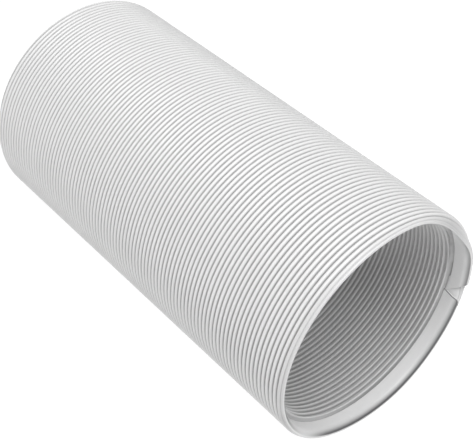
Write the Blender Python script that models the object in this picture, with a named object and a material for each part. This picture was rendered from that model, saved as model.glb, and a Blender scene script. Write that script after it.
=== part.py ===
"""Exhaust hose of a portable air conditioner, pushed together to its shortest length.

A ribbed plastic strip is wound left-handed into a tube, and every turn is locked to the one before, so
the hose is one piece. It lies on the floor along X, with its open mouth towards +X. The origin is below
the middle of the hose, on the floor. Lengths are in metres and angles in degrees.
"""

import math

import bmesh
import bpy

# Section of the wound wall, measured in from the tops of the ribs
OUTER_RADIUS = 0.075      # to the tops of the ribs
RIB_DEPTH = 0.0028        # from the top of a rib to the groove beside it
WALL_DEPTH = 0.0049       # from the top of a rib to the bore

# Winding
RIB_PITCH = 0.003175      # from one rib to the next, along the hose
TURNS = 89                # ribs along any line from end to end
STRIP_END_ANGLE = -7.5    # above the +Y side, where the strip is cut off

# Lip of the mouth: the free edge of the last turn
LIP_LINE_DEPTH = 0.0012   # from the top of a rib in to the shallow line where the lip starts
LIP_LENGTH = 0.0022       # past that line
LIP_DEPTH = 0.0017        # from the top of a rib in to the lip's outer edge
LIP_BEVEL = 0.0012        # the lip's inner edge falls away by this much both ways
END_SETBACK = 0.0016      # the strip's cut corner is pushed back towards the ribs
SETBACK_ANGLE = 80.0      # how far round the mouth that push fades out

# Hidden far end, cut square
FAR_LAND = 0.0003         # plain edge left before the first rib

# Flats around the hose: each one touches the true circle at its middle
FACETS = 28

# Finish
WHITE_PLASTIC = (0.86, 0.86, 0.85, 1.0)
PLASTIC_ROUGHNESS = 0.42


def clear_scene():
    """Remove what a new Blender file starts with."""
    for item in list(bpy.data.objects):
        bpy.data.objects.remove(item, do_unlink=True)


def plastic_material():
    """White polypropylene with a soft sheen."""
    material = bpy.data.materials.new("white_plastic")
    material.use_nodes = True
    shader = material.node_tree.nodes["Principled BSDF"]
    shader.inputs["Base Color"].default_value = WHITE_PLASTIC
    shader.inputs["Roughness"].default_value = PLASTIC_ROUGHNESS
    shader.inputs["Metallic"].default_value = 0.0
    return material


def strip_end_corner():
    """Number of the corner nearest to the cut end of the strip, counted from the floor flat."""
    step = 360.0 / FACETS
    return round((STRIP_END_ANGLE + 90.0) / step - 0.5)


def rib_start(column):
    """Where the first groove crosses a column: the winding falls back by one pitch in a full turn."""
    return FAR_LAND + RIB_PITCH * (1 - column / FACETS)


def lip_edge(column):
    """How far along the lip reaches: it follows the winding, but its cut corner is pushed back."""
    turned = 360.0 * column / FACETS
    fade = 0.5 + 0.5 * math.cos(math.pi * min(turned / SETBACK_ANGLE, 1.0))
    return rib_start(column) + TURNS * RIB_PITCH + LIP_LENGTH - END_SETBACK * fade


def hose_length():
    """From the square far end to the point of the lip that reaches furthest."""
    return max(lip_edge(column) for column in range(FACETS + 1))


def place(column, along, radius):
    """World position of a point on one of the straight lines where two flats meet.

    The radius is measured to the middle of a flat, so these corners lie a little further out, and one
    flat faces straight down to the floor.
    """
    angle = math.radians(-90.0) + (column + strip_end_corner() + 0.5) * math.tau / FACETS
    corner_radius = radius / math.cos(math.pi / FACETS)
    x = along - hose_length() / 2
    y = corner_radius * math.cos(angle)
    z = corner_radius * math.sin(angle) + OUTER_RADIUS
    return x, y, z


def rib_line(mesh, column, start, rows):
    """Corners along one line: grooves on even rows, tops of ribs on odd rows, the lip's line last."""
    depths = [0.0 if row % 2 else RIB_DEPTH for row in range(rows)]
    depths[-1] = LIP_LINE_DEPTH
    return [mesh.verts.new(place(column, start + row * RIB_PITCH / 2, OUTER_RADIUS - depth))
            for row, depth in enumerate(depths)]


def rib_corners(mesh):
    """Corners of the ribbed outside, one list for each column, going round from the strip's cut end.

    The winding shifts by one rib in a turn, so the last column is the first one read two rows lower.
    """
    rows = 2 * TURNS + 1
    seam = rib_line(mesh, 0, FAR_LAND, rows + 2)
    inside = [rib_line(mesh, column, rib_start(column), rows) for column in range(1, FACETS)]
    columns = [seam[2:]] + inside + [seam[:rows]]
    return columns, seam


def mouth_corners(mesh, radius, back=0.0):
    """Corners of the lip at one radius. The last one lies a pitch behind the first, at the same angle."""
    return [mesh.verts.new(place(column, lip_edge(column) - back, radius))
            for column in range(FACETS + 1)]


def far_corners(mesh, radius):
    """Corners of the square far end at one radius, with the first one repeated at the end."""
    ring = [mesh.verts.new(place(column, 0.0, radius)) for column in range(FACETS)]
    return ring + ring[:1]


def wind_hose(mesh):
    """The whole wall as one closed skin: ribs outside, both ends, the strip's cut end and the bore."""
    last = 2 * TURNS
    bore_radius = OUTER_RADIUS - WALL_DEPTH
    columns, seam = rib_corners(mesh)
    outer = mouth_corners(mesh, OUTER_RADIUS - LIP_DEPTH)
    front = mouth_corners(mesh, bore_radius + LIP_BEVEL)
    inner = mouth_corners(mesh, bore_radius, LIP_BEVEL)
    far_outer = far_corners(mesh, OUTER_RADIUS - RIB_DEPTH)
    far_bore = far_corners(mesh, bore_radius)
    for side in range(FACETS):
        here, there = columns[side], columns[side + 1]
        for row in range(last):
            mesh.faces.new((here[row], there[row], there[row + 1], here[row + 1]))
        mesh.faces.new((here[last], there[last], outer[side + 1], outer[side]))
        mesh.faces.new((outer[side], outer[side + 1], front[side + 1], front[side]))
        mesh.faces.new((front[side], front[side + 1], inner[side + 1], inner[side]))
        mesh.faces.new((far_outer[side], far_bore[side], far_bore[side + 1], far_outer[side + 1]))
        land = [far_outer[side], far_outer[side + 1], there[0], here[0]]
        bore = [inner[side], inner[side + 1], far_bore[side + 1], far_bore[side]]
        if side == 0:
            land.append(seam[0])
            bore.append(inner[FACETS])
        mesh.faces.new(land)
        mesh.faces.new(bore)
    first_rib_end = (seam[0], seam[2], seam[1])
    strip_cut_end = (seam[last], seam[last + 1], seam[last + 2], outer[0], front[0], inner[0],
                     inner[FACETS], front[FACETS], outer[FACETS])
    mesh.faces.new(first_rib_end)
    mesh.faces.new(strip_cut_end)


def build_hose():
    """The hose as one named object with its own plastic."""
    skin = bmesh.new()
    wind_hose(skin)
    bmesh.ops.recalc_face_normals(skin, faces=skin.faces)
    mesh = bpy.data.meshes.new("hose")
    skin.to_mesh(mesh)
    skin.free()
    mesh.materials.append(plastic_material())
    mesh.shade_smooth()
    mesh.set_sharp_from_angle(angle=math.radians(60))
    hose = bpy.data.objects.new("hose", mesh)
    bpy.context.scene.collection.objects.link(hose)


clear_scene()
build_hose()
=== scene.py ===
"""Looks of a portable air conditioner's exhaust hose, pushed together to its shortest length.

The hose lies along X with its open mouth towards +X. It is wound left-handed from one white plastic
strip: its outside is a row of rounded beads and its inside a row of thin ribs. The last turn, at the
mouth, shows the strip's smooth lip and its cut end. Places round the hose are given in degrees turned
from that cut end, going from +Y up towards +Z.
"""

import bmesh
import bpy
import numpy as np
from mathutils import Matrix, Vector


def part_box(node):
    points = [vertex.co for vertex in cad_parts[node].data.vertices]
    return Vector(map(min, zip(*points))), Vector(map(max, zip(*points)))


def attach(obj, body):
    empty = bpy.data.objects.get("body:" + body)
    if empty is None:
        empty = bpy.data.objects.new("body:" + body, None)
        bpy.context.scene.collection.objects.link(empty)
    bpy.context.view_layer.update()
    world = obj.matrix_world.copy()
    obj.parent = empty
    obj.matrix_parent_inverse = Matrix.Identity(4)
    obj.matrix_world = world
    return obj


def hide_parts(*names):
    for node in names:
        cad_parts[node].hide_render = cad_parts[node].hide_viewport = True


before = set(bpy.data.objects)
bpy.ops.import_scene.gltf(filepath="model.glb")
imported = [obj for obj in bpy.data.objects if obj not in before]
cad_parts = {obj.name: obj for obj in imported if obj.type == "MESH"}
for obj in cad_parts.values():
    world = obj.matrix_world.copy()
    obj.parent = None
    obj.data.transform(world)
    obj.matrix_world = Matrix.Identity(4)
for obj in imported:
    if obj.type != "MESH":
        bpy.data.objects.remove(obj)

MM = 0.001

# Winding: everything on the hose falls back by one pitch in a full turn
AXIS_HEIGHT = 75.0 * MM
PITCH = 3.1656 * MM
CUT_ANGLE = -7.5                  # where the strip is cut off at the mouth, in degrees above +Y
GROOVE_AT_CUT = 139.94 * MM       # how far along the last groove lies there
WALL_SIDES = 90
SHELL_SIDES = 180

# One bead of the outside and one rib of the inside: share of a pitch back from the groove, radius in
# millimetres and how much shade is painted there
BEAD_PROFILE = ((0.0, 72.4, 0.62), (0.12, 73.7, 0.48), (0.19, 74.5, 0.1), (0.36, 75.0, 0.0),
                (0.64, 75.0, 0.0), (0.81, 74.5, 0.1), (0.88, 73.7, 0.48))
RIB_PROFILE = ((0.31, 69.0, 0.74), (0.39, 67.4, 0.22), (0.51, 67.25, 0.04), (0.56, 68.1, 0.26),
               (0.97, 68.6, 0.44))

# Outside of the mouth's turn: millimetres ahead of the groove, radius in millimetres and painted shade
MOUTH_BEAD = ((-0.25, 72.2, 0.60), (0.05, 72.4, 0.60), (0.38, 73.7, 0.45), (0.60, 74.5, 0.16),
              (1.10, 74.95, 0.10), (1.50, 75.0, 0.11), (1.95, 74.9, 0.15), (2.40, 74.5, 0.20),
              (2.60, 74.2, 0.26), (2.75, 73.9, 0.38), (2.92, 74.1, 0.22), (3.50, 74.1, 0.18),
              (4.00, 73.95, 0.18), (4.25, 73.7, 0.18), (4.33, 73.4, 0.18))
BEAD_KEPT = 1.95                  # the bead keeps its shape up to here, the lip stretches with the edge

# Inside of the bead's shell, which shows in the notch: millimetres back from the edge, radius, painted
# shade
SHELL_INSIDE = ((0.05, 73.2, 0.05), (1.05, 73.0, 0.05), (1.15, 72.8, 0.4), (1.30, 72.6, 0.4),
                (1.45, 72.3, 0.12), (2.60, 71.3, 0.15), (4.00, 70.75, 0.15), (5.00, 70.6, 0.15))
SHELL_SPREAD = 1.2                # these distances grow by this share towards the end of the turn
SHELL_SPREAD_FADE = 9.0           # over its last degrees

# Back corners of the shell, hidden behind the band: how far ahead of the band's back edge, and radii
SHELL_BACK = 0.4 * MM
SHELL_BACK_RADII = (70.6, 72.3)
# painted shade on these corners
SHELL_BACK_DARK = 0.15

# Smooth liner of the mouth, from its front rim back to the band: millimetres back from the edge,
# radius, thickness and painted shade
LINER_FRONT = ((0.00, 73.35, 0.05, 0.05), (0.01, 72.75, 0.60, 0.10), (0.05, 72.6, 0.75, 0.60),
               (0.30, 72.3, 1.0, 0.95), (0.80, 71.8, 1.3, 0.87), (1.40, 71.25, 1.2, 0.60),
               (2.10, 70.8, 1.1, 0.36), (2.90, 70.4, 0.9, 0.20), (3.70, 70.15, 0.8, 0.12),
               (4.40, 70.1, 0.7, 0.06))
LINER_DEPTH = 11.0                # from the rim to the band's back edge, in millimetres

# The band behind it: share of the way on to the back edge, radius and thickness
BAND = ((0.25, 70.1, 0.7), (0.5, 70.1, 0.7), (0.75, 70.1, 0.7), (0.92, 70.1, 0.7), (0.97, 70.1, 0.7),
        (0.995, 70.2, 0.6), (1.0, 70.5, 0.3))
# painted shade on the band
BAND_DARK = 0.06

# Edges of the mouth's turn
LIP_REACH = 4.35 * MM             # from the groove to the lip's edge
END_SETBACK = 1.8 * MM            # the strip's cut corner is pushed back towards the beads
SETBACK_FADE = 80.0
BAND_BACK = -6.6 * MM             # back edge of the smooth band, from the groove

# The lip's edge waves by less than a millimetre: a mean, one wave round the hose and its crest, and two
# bumps. A bump is given by its height, its middle and its half width in degrees
LIP_WAVE_MEAN, LIP_WAVE_HEIGHT, LIP_WAVE_CREST = 0.05, 0.2, 137.5
LIP_BUMPS = ((-0.55, 255.5, 50.0), (0.35, 295.0, 38.0))

# The lip is bent inwards near the strip's end: how far, where, and over how many degrees to each side
BEND_DEPTH = 5.6 * MM
BEND_TURNED = 40.5
BEND_BEFORE, BEND_AFTER = 28.5, 47.0
BEND_START = 136.63 * MM          # how far along it starts
BEND_LENGTH = 6.8 * MM
BEND_POWER = 2.4
BEND_LIMIT = 1.2

# The beads near the mouth lean towards it at the upper right
LEAN = 1.3 * MM
LEAN_TURNED = 52.5
LEAN_BEFORE, LEAN_AFTER = 45.0, 85.0
LEAN_START = 111.0 * MM           # where the lean starts to fade, going back from the mouth
LEAN_FADE = 100.0 * MM

# Front of the inside, under the band: a ledge and then the wall's own inside. Each starts at a distance
# from the band's back edge, and meets itself again over a number of degrees
RIB_LEDGE = 70.6 * MM
LEDGE_LINE = (-0.15 * MM, 25.0)
RIB_SHELL = 72.25 * MM
SHELL_LINE = (0.3 * MM, 5.0)

# The ribs close behind the band are flattened at the right and the lower left, and their painted shade
# is evener there
FLAT_RADIUS = 68.1 * MM
FLAT_RIGHT = (1.0, 27.0, 50.0)
FLAT_LEFT = (0.6, 247.0, 45.0)
FLAT_FADE = 4.5 * MM              # behind the band
FLAT_DARK = 0.25
FLAT_SHADE = (0.35, 27.0, 45.0)
FLAT_SHARE = 0.85
LEDGE_DARK = 0.1                  # painted shade, more than on the flattened ribs
RIB_DARK = 0.12                   # the ribs' painted shade comes nearer to this at the right
RIB_FADE = (0.8, 27.0, 65.0)

# Outside: painted shade in the grooves is fainter at the upper right, and painted shade darkens both
# sides of the view
GROOVE_FADE = (0.7, 40.0, 38.0)
RIGHT_SHADE = (0.19, 53.5, 30.0)
LEFT_SHADE = (0.16, 207.5, 16.0)
BENT_LIP_DARK = 0.12              # more painted shade where the lip is bent

# Liner: less shade is painted at the upper right, the cut end and the lower left, and more at the
# bottom.
# The first bump has a flat top as well, and the next two have a half width for each side
LINER_PALE = (0.35, 54.0, 22.0, 25.0)
LINER_PALE_END = (0.15, 3.0, 15.0, 25.0)
LINER_PALE_LEFT = (0.75, 228.0, 30.0, 22.0)
LINER_SHADE = (0.09, 285.0, 95.0)
BENT_RIM_DARK = 0.3               # more painted shade on the rim where the lip is bent
RIM_SHARE = 0.006                 # the rim is this share of the liner

# Painted glow: emission that stands in for light coming through the thin wall into the hose, growing
# with the depth from the mouth, and through the liner at the right
GLOW = 0.115
GLOW_START, GLOW_FULL = 118.0 * MM, 60.0 * MM
LINER_GLOW = (0.07, 30.0, 50.0, 50.0)

# Notch at the strip's cut end
UPPER_SLANT = 7.5                 # the liner's upper end is cut along a slant of this many degrees
LOWER_END = 347.8                 # its lower end, at the front corner, in degrees turned
LOWER_ROUND = 2.7                 # the front corner is rounded by this many degrees
LOWER_ROUND_SHARE = 0.06          # within about this share of the liner
LOWER_SLANT = 2.0                 # and the rest of that cut leans by this many
CUT_LINE = (0.05, 0.55)           # a painted shadow line between these distances from the lower end, in degrees
CUT_LINE_DARK = 0.8

# Rows of the liner, in degrees of its turn: every two degrees, and closer together at both ends
LINER_TURN = 355.0
LINER_STEPS = ((0, 0.1, 0.5, 1, 2), range(4, 353, 2), (353, 353.9, 354.2, 354.5, 354.7, 354.94, 355))

# Surfaces
WALL_SHARP, LIP_SHARP = 70, 60    # edges that bend by more degrees than this look sharp
WELD = 1e-6                       # points closer together than this become one
SLIVER = 1e-7                     # edges shorter than this are dissolved

# Plastic: wide clouds, a fine grain, and drawn lines that are fine along the hose and long round it
FACE_COLOUR = (0.80, 0.80, 0.80, 1.0)
# painted shade: the grey that the white is mixed towards where shade is painted
PAINTED_SHADE_COLOUR = (0.10, 0.10, 0.103, 1.0)
CLOUD_SCALE, GRAIN_SCALE = 35.0, 1900.0
LINE_SCALE, LINE_STRETCH = 2600, 12
CLOUD_DARK = 0.06
ROUGHNESS, CLOUD_ROUGHNESS = 0.36, 0.12
LINE_RELIEF, GRAIN_RELIEF = 0.7, 0.3
RELIEF_STRENGTH, RELIEF_HEIGHT = 0.25, 0.05 * MM
REFRACTION = 1.49

# Studio
WHITE = (1.0, 1.0, 1.0, 1.0)
WORLD_STRENGTH = 0.22
FLOOR_HALF = 15.0
FLOOR_COLOUR = (0.12, 0.12, 0.12, 1.0)
FLOOR_LIGHT = 0.96
LIGHT_PLACE = (0.55, -0.2, 1.65)
LIGHT_TARGET = (0, 0, 0.08)
LIGHT_SIZE = 1.2
LIGHT_POWER = 31

# Camera
FOCAL_PIXELS = 1095.3
PHOTO_WIDTH = 475
CAMERA_PLACE = (0.4086, -0.3250, 0.5257)
CAMERA_RIGHT = (0.6384, 0.7697, 0.0)
CAMERA_DOWN = (0.5130, -0.4255, -0.7455)


def groove_line(turned):
    """The last groove: it falls back by one pitch for every 360 degrees turned from the cut end."""
    return GROOVE_AT_CUT - PITCH * turned / 360


def ease(share):
    """Cosine ease from 1 at a share of 0 to 0 at a share of 1."""
    return 0.5 + 0.5 * np.cos(np.pi * np.clip(share, 0, 1))


def bump(turned, height, middle, width, flat=0.0):
    """An eased bump: height * ease((d - flat) / width) at d degrees from its middle, either way."""
    away = np.abs((turned - middle + 180) % 360 - 180)
    return height * ease((away - flat) / width)


def hump(turned, height, middle, before, after):
    """An eased bump with a half width of its own on each side. It doesn't reach past the cut end."""
    off = turned - middle
    return height * ease(np.where(off < 0, -off / before, off / after))


def setback(turned):
    """The strip's cut corner is pushed back; the push fades out with the turn."""
    return END_SETBACK * ease(turned / SETBACK_FADE)


def lip_edge(turned):
    """Reach of the lip ahead of the groove line, less its setback and with its slight wave."""
    wave = LIP_WAVE_MEAN + LIP_WAVE_HEIGHT * np.cos(np.radians(turned - LIP_WAVE_CREST))
    for lip_bump in LIP_BUMPS:
        wave = wave + bump(turned, *lip_bump)
    return groove_line(turned) + LIP_REACH - setback(turned) + wave * MM


def band_back(turned):
    """Back edge of the smooth band inside the mouth."""
    return groove_line(turned) + BAND_BACK - setback(turned)


def behind_band(turned, ahead, fade):
    """A line near the band's back edge that is the same at both ends of the turn."""
    return band_back(turned) + ahead - (PITCH - END_SETBACK) * ease(turned / fade)


def lean(turned):
    """How far the beads near the mouth are pushed towards it."""
    return hump(turned, LEAN, LEAN_TURNED, LEAN_BEFORE, LEAN_AFTER)


def bend_share(turned):
    """How much of the bend there is at an angle."""
    return hump(turned, 1.0, BEND_TURNED, BEND_BEFORE, BEND_AFTER)


def bend(along, turned):
    """How far the lip is bent inwards: depth * share * ((along - start) / length) ** power."""
    reached = np.clip((along - BEND_START) / BEND_LENGTH, 0, BEND_LIMIT)
    return BEND_DEPTH * bend_share(turned) * reached ** BEND_POWER


def on_hose(along, turned, radius):
    """Points (x, r cos a, axis height + r sin a), where r is the radius less the lip's bend."""
    angle = np.radians(turned + CUT_ANGLE)
    bent = radius - bend(along, turned)
    return np.stack([along, bent * np.cos(angle), AXIS_HEIGHT + bent * np.sin(angle)], axis=-1)


def grid_faces(rows, columns):
    """Quads of a grid whose columns close on themselves: (row, column) is joined to its next ones."""
    row, column = np.meshgrid(np.arange(rows - 1), np.arange(columns), indexing="ij")
    after = (column + 1) % columns
    quads = np.stack([row * columns + column, (row + 1) * columns + column,
                      (row + 1) * columns + after, row * columns + after], axis=-1)
    return [list(quad) for quad in quads.reshape(-1, 4)]


def solid_from(name, points, painted_shade, painted_glow, faces, sharp_angle):
    """Welds the points, turns the faces outwards and makes a smooth shaded object.

    One attribute holds the shade painted at each point: 0 on its faces, 1 in its folds.
    The other is a painted glow: emission that stands in for the light coming through the wall there.
    """
    mesh = bpy.data.meshes.new(name)
    mesh.from_pydata(points.reshape(-1, 3), [], faces)
    mesh.attributes.new("painted_shade", "FLOAT", "POINT").data.foreach_set("value", painted_shade.ravel())
    mesh.attributes.new("painted_glow", "FLOAT", "POINT").data.foreach_set("value", painted_glow.ravel())
    skin = bmesh.new()
    skin.from_mesh(mesh)
    bmesh.ops.remove_doubles(skin, verts=skin.verts, dist=WELD)
    bmesh.ops.dissolve_degenerate(skin, edges=skin.edges, dist=SLIVER)
    bmesh.ops.recalc_face_normals(skin, faces=skin.faces)
    skin.to_mesh(mesh)
    skin.free()
    mesh.shade_smooth()
    mesh.set_sharp_from_angle(angle=np.radians(sharp_angle))
    piece = bpy.data.objects.new(name, mesh)
    bpy.context.scene.collection.objects.link(piece)
    return piece


def profile_rows(profile, turned, far_end):
    """One profile of n points repeated behind the last groove, and cut off square at the far end.

    Row j lies (j // n + share[j % n]) pitches behind the groove line. Rows that pass the far end are
    drawn back to it, with the radius and painted shade that the profile has there. Gives the places
    along, the radii and the painted shade.
    """
    share, radius, painted_shade = np.array(profile).T
    ribs = int(np.ceil((groove_line(0) - far_end) / PITCH)) + 1
    behind = (np.arange(ribs)[:, None] + share).ravel() * PITCH
    along = groove_line(turned)[:, None] - behind
    past = along < far_end
    cut = groove_line(turned) - far_end
    rows = [np.where(past, far_end, along)]
    for values in (np.tile(radius * MM, ribs), np.tile(painted_shade, ribs)):
        rows.append(np.where(past, np.interp(cut, behind, values)[:, None], values))
    return rows


def outer_contrast(turned):
    """How strongly the painted shade in the outside's grooves shows."""
    return 1 - bump(turned, *GROOVE_FADE)


def painted_edge_shade(turned):
    """Painted shade: the outside is darker where it turns away, at both sides of the view."""
    return bump(turned, *RIGHT_SHADE) + bump(turned, *LEFT_SHADE)


def outer_rows(turned, far_end):
    """The beads outside: along = profile + lean, which fades out going back from the mouth."""
    along, radius, painted_shade = profile_rows(BEAD_PROFILE, turned, far_end)
    along = along + lean(turned)[:, None] * ease((LEAN_START - along) / LEAN_FADE)
    # Painted shade of the grooves, fainter at the upper right, plus painted shade at the sides of the
    # view
    return along, radius, painted_shade * outer_contrast(turned)[:, None] + painted_edge_shade(turned)[:, None]


def inner_rows(turned, far_end):
    """The ribs inside: radius = profile + (flat radius - profile) * flatness, ending under the band."""
    along, radius, painted_shade = profile_rows(RIB_PROFILE, turned, far_end)
    ledge = behind_band(turned, *LEDGE_LINE)[:, None]
    shell = behind_band(turned, *SHELL_LINE)[:, None]
    flatness = np.maximum(bump(turned, *FLAT_RIGHT), bump(turned, *FLAT_LEFT))[:, None]
    flatness = flatness * ease((ledge - along) / FLAT_FADE)
    radius = radius + (FLAT_RADIUS - radius) * flatness
    # Painted shade of the ribs, evened out at the right, on the flattened ribs and on the ledge
    painted_shade = RIB_DARK + (painted_shade - RIB_DARK) * (1 - bump(turned, *RIB_FADE))[:, None]
    flat_dark = FLAT_DARK + bump(turned, *FLAT_SHADE)[:, None]
    painted_shade = painted_shade + (flat_dark - painted_shade) * FLAT_SHARE * flatness
    painted_shade = np.where(along > ledge, flat_dark + LEDGE_DARK, painted_shade)
    radius = np.where(along > ledge, RIB_LEDGE, radius)
    radius = np.where(along > shell, RIB_SHELL, radius)
    return np.minimum(along, shell), radius, painted_shade


def make_wall(far_end):
    """Beads outside and ribs inside as one closed loop, carried once round the hose.

    The last column is the first one, one pitch further back, so the welded seam winds on into the next
    turn. One flat face closes the step that this leaves at the mouth.
    """
    turned = np.linspace(0, 360, WALL_SIDES + 1)
    sides = zip(outer_rows(turned, far_end), inner_rows(turned, far_end))
    along, radius, painted_shade = [np.hstack([outer, inner[:, ::-1]]) for outer, inner in sides]
    # Painted glow: emission for the light through the wall, growing deeper in the hose
    depth = np.clip((GLOW_START - along) / (GLOW_START - GLOW_FULL), 0, 1)
    painted_glow = GLOW * depth * (radius < RIB_SHELL)
    points = on_hose(along, turned[:, None], radius)
    rows, columns = along.shape
    step_outside = list(range(len(BEAD_PROFILE) + 1))
    step_inside = list(range(columns - len(RIB_PROFILE) - 1, columns))
    faces = grid_faces(rows, columns) + [step_outside + step_inside]
    return solid_from("hose_wall", points, painted_shade, painted_glow, faces, WALL_SHARP)


def make_shell():
    """The last bead and its lip, a closed section carried round once on the falling helix.

    Ahead of where the bead is kept, the section is stretched to the lip's edge. Its inside is covered
    by the liner, except in the notch.
    """
    turned = np.linspace(0, 360, SHELL_SIDES + 1)
    groove = (groove_line(turned) + lean(turned))[:, None]
    edge, back = lip_edge(turned)[:, None], band_back(turned)[:, None]
    ahead, radius, painted_shade = np.array(MOUTH_BEAD).T
    stretch = ((edge - groove) / MM - BEAD_KEPT) / (LIP_REACH / MM - BEAD_KEPT)
    ahead = np.where(ahead < BEAD_KEPT, ahead, BEAD_KEPT + (ahead - BEAD_KEPT) * stretch)
    depth, inner_radius, inner_dark = np.array(SHELL_INSIDE).T
    depth = depth * (1 + SHELL_SPREAD * ease((360 - turned) / SHELL_SPREAD_FADE))[:, None]
    corners = [back + SHELL_BACK] * len(SHELL_BACK_RADII)
    along = np.hstack([groove + ahead * MM, edge - depth * MM] + corners)
    radius = np.concatenate([radius, inner_radius, SHELL_BACK_RADII]) * MM
    # Painted shade: in the grooves, at both sides of the view and on the bent lip
    outer_dark = painted_shade * outer_contrast(turned)[:, None]
    outer_dark = outer_dark + (painted_edge_shade(turned) + BENT_LIP_DARK * bend_share(turned))[:, None]
    inner_dark = np.append(inner_dark, [SHELL_BACK_DARK] * len(SHELL_BACK_RADII))
    painted_shade = np.hstack([outer_dark, np.tile(inner_dark, (len(turned), 1))])
    points = on_hose(along, turned[:, None], radius)
    rows, columns = along.shape
    faces = grid_faces(rows, columns)
    faces.append(list(range(columns)))
    faces.append(list(range((rows - 1) * columns, rows * columns)))
    return solid_from("mouth_shell", points, painted_shade, 0 * painted_shade, faces, LIP_SHARP)


def liner_dark(painted_shade, share, turned, left):
    """Painted shade of the liner: lighter and darker places round it, its bent rim and a shadow line
    along its cut.
    """
    painted_shade = painted_shade * (1 - bump(turned, *LINER_PALE))
    painted_shade = painted_shade * (1 - hump(turned, *LINER_PALE_END)) * (1 - hump(turned, *LINER_PALE_LEFT))
    painted_shade = painted_shade + bump(turned, *LINER_SHADE) + BENT_RIM_DARK * bend_share(turned) * (share < RIM_SHARE)
    near, far = CUT_LINE
    return np.maximum(painted_shade, np.where((left > near) & (left < far), CUT_LINE_DARK, 0))


def make_liner():
    """The smooth liner of the mouth: front rim, flare with painted shade, and band, as a thin closed
    strip.

    Its rows run from the slanted upper cut round to the lower cut, whose front corner is round. Share
    s is 0 at the rim and 1 at the band's back edge. The upper cut lies at -slant * s, and the lower one
    at end + round * (1 - exp(-s / its share)) + slant * s.
    """
    depth, radius, thickness, painted_shade = np.array(LINER_FRONT).T
    band, band_radius, band_thickness = np.array(BAND).T
    front = depth / LINER_DEPTH
    share = np.concatenate([front, front[-1] + (1 - front[-1]) * band])
    radius = np.concatenate([radius, band_radius]) * MM
    thickness = np.concatenate([thickness, band_thickness]) * MM
    painted_shade = np.concatenate([painted_shade, np.full(len(band), BAND_DARK)])

    first = -UPPER_SLANT * share
    last = LOWER_END + LOWER_ROUND * (1 - np.exp(-share / LOWER_ROUND_SHARE)) + LOWER_SLANT * share
    way = np.concatenate(LINER_STEPS)[:, None] / LINER_TURN
    turned = first + (last - first) * way
    edge, back = lip_edge(turned), band_back(turned)
    along = edge + (back - edge) * share
    along[:, :len(depth)] = edge[:, :len(depth)] - depth * MM
    painted_shade = liner_dark(painted_shade, share, turned, (1 - way) * LINER_TURN)
    # Painted glow on the liner at the right
    painted_glow = hump(turned, *LINER_GLOW)

    inner = on_hose(along, turned, radius)
    outer = on_hose(along, turned, radius + thickness)
    points = np.concatenate([inner, outer[:, ::-1]], axis=1)
    painted_shade = np.hstack([painted_shade, 0 * painted_shade])
    painted_glow = np.hstack([painted_glow, 0 * painted_glow])
    rows, columns = painted_shade.shape
    faces = grid_faces(rows, columns)
    for start in (0, (rows - 1) * columns):
        last_one = start + columns - 1
        faces += [[start + near, start + near + 1, last_one - near - 1, last_one - near]
                  for near in range(columns // 2 - 1)]
    return solid_from("mouth_liner", points, painted_shade, painted_glow, faces, LIP_SHARP)


class Value:
    """A shader socket that takes Python arithmetic, so that a mask is written as a formula."""

    def __init__(self, finish, socket):
        self.finish = finish
        self.socket = socket

    def math(self, operation, *terms):
        """A maths node on these terms."""
        return self.finish.node("ShaderNodeMath", {"operation": operation}, dict(enumerate(terms)))

    def __add__(self, other):
        return self.math("ADD", self, other)

    def __radd__(self, other):
        return self.math("ADD", other, self)

    def __sub__(self, other):
        return self.math("SUBTRACT", self, other)

    def __rsub__(self, other):
        return self.math("SUBTRACT", other, self)

    def __mul__(self, other):
        return self.math("MULTIPLY", self, other)

    def __rmul__(self, other):
        return self.math("MULTIPLY", other, self)

    def __pow__(self, other):
        return self.math("POWER", self, other)


class Finish:
    """One node material, built from its Principled shader backwards."""

    def __init__(self, name):
        self.material = bpy.data.materials.new(name)
        self.material.use_nodes = True
        self.tree = self.material.node_tree
        self.shader = self.tree.nodes["Principled BSDF"]

    def plug(self, node, sockets):
        """Sets or links sockets of a node, by name or number."""
        for key, value in sockets.items():
            if isinstance(value, Value):
                self.tree.links.new(value.socket, node.inputs[key])
            else:
                node.inputs[key].default_value = value

    def node(self, kind, settings, sockets, output=0):
        """Adds a node: its settings first, then its sockets. Gives one of its outputs."""
        made = self.tree.nodes.new(kind)
        for key, value in settings.items():
            setattr(made, key, value)
        self.plug(made, sockets)
        return Value(self, made.outputs[output])

    def noise(self, place, scale, detail):
        """A noise of a scale and detail, read at a place."""
        sockets = {"Vector": place, "Scale": scale, "Detail": detail}
        return self.node("ShaderNodeTexNoise", {}, sockets, "Fac")

    def attribute(self, name):
        """A number that the mesh carries at each point."""
        return self.node("ShaderNodeAttribute", {"attribute_name": name}, {}, "Fac")

    def shade(self, sockets):
        """Sets or links sockets of the Principled shader."""
        self.plug(self.shader, sockets)
        return self.material


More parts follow.
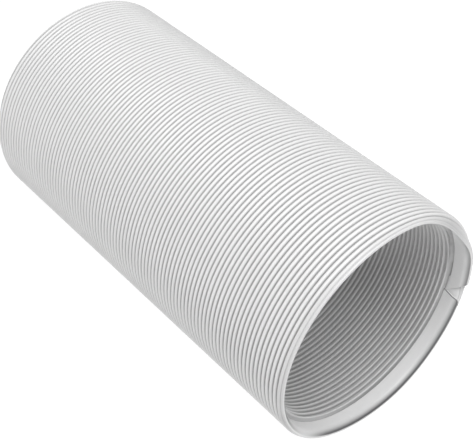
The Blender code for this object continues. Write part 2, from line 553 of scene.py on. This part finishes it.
def make_plastic():
    """White polypropylene, with painted shade deep between the beads, a painted glow, and faint drawn
    lines along the strip.
    """
    finish = Finish("white_polypropylene")
    place = finish.node("ShaderNodeTexCoord", {}, {}, "Object")
    parts = finish.tree.nodes.new("ShaderNodeSeparateXYZ")
    finish.tree.links.new(place.socket, parts.inputs[0])
    along, across, height = [Value(finish, socket) for socket in parts.outputs]
    rise = height - AXIS_HEIGHT
    radius = (across * across + rise * rise) ** 0.5

    cloud = finish.noise(place, CLOUD_SCALE, 3.0)
    line_place = {"X": along * LINE_SCALE, "Y": radius * LINE_SCALE, "Z": across * LINE_STRETCH}
    lines = finish.noise(finish.node("ShaderNodeCombineXYZ", {}, line_place), 1.0, 2.0)
    grain = finish.noise(place, GRAIN_SCALE, 2.0)

    painted_shade = finish.attribute("painted_shade")
    painted_glow = finish.attribute("painted_glow")
    # The painted shade mixes the white towards the shade grey; the clouds vary the tone at random
    colours = {"Factor": painted_shade + CLOUD_DARK * (cloud - 0.5), "A": FACE_COLOUR, "B": PAINTED_SHADE_COLOUR}
    colour = finish.node("ShaderNodeMix", {"data_type": "RGBA"}, colours, "Result")
    relief = {"Strength": RELIEF_STRENGTH, "Distance": RELIEF_HEIGHT,
              "Height": lines * LINE_RELIEF + grain * GRAIN_RELIEF}
    # The emission is the painted glow, less where shade is painted
    return finish.shade({"Base Color": colour, "Roughness": ROUGHNESS + CLOUD_ROUGHNESS * cloud,
                         "Normal": finish.node("ShaderNodeBump", {}, relief), "IOR": REFRACTION,
                         "Emission Color": painted_glow * (1 - painted_shade), "Emission Strength": 1.0})


def make_floor():
    """A wide pale floor, of even brightness."""
    mesh = bpy.data.meshes.new("studio_floor")
    corners = [(-FLOOR_HALF, -FLOOR_HALF, 0), (FLOOR_HALF, -FLOOR_HALF, 0),
               (FLOOR_HALF, FLOOR_HALF, 0), (-FLOOR_HALF, FLOOR_HALF, 0)]
    mesh.from_pydata(corners, [], [(0, 1, 2, 3)])
    floor = bpy.data.objects.new("studio_floor", mesh)
    bpy.context.scene.collection.objects.link(floor)
    finish = Finish("floor_paper")
    mesh.materials.append(finish.shade({"Base Color": FLOOR_COLOUR, "Roughness": 0.9,
                                        "Emission Color": WHITE, "Emission Strength": FLOOR_LIGHT}))


def light_studio():
    """Even light all round, with a large soft light above the hose, on the mouth's side."""
    world = bpy.data.worlds.new("studio")
    world.use_nodes = True
    background = world.node_tree.nodes["Background"]
    background.inputs["Color"].default_value = WHITE
    background.inputs["Strength"].default_value = WORLD_STRENGTH
    bpy.context.scene.world = world
    data = bpy.data.lights.new("overhead", "AREA")
    data.size = LIGHT_SIZE
    data.energy = LIGHT_POWER
    light = bpy.data.objects.new("overhead", data)
    light.location = LIGHT_PLACE
    aim = Vector(LIGHT_TARGET) - Vector(LIGHT_PLACE)
    light.rotation_euler = aim.to_track_quat("-Z", "Y").to_euler()
    bpy.context.scene.collection.objects.link(light)
    bpy.context.scene.view_settings.view_transform = "Standard"


def set_camera():
    """Camera of the photo: its place, its right and down directions and its focal length in pixels."""
    right, down = Vector(CAMERA_RIGHT), Vector(CAMERA_DOWN)
    back = right.cross(-down)
    data = bpy.data.cameras.new("photo_camera")
    data.sensor_fit = "HORIZONTAL"
    data.sensor_width = 36.0
    data.lens = FOCAL_PIXELS / PHOTO_WIDTH * data.sensor_width
    data.clip_start = 0.01
    camera = bpy.data.objects.new("photo_camera", data)
    turn = Matrix((right, -down, back)).transposed().to_4x4()
    camera.matrix_world = Matrix.Translation(CAMERA_PLACE) @ turn
    bpy.context.scene.collection.objects.link(camera)
    bpy.context.scene.camera = camera


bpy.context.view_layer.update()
set_camera()
light_studio()
make_floor()
plastic = make_plastic()
for piece in (make_wall(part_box("hose")[0].x), make_shell(), make_liner()):
    piece.data.materials.append(plastic)
    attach(piece, "root")
    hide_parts("hose")
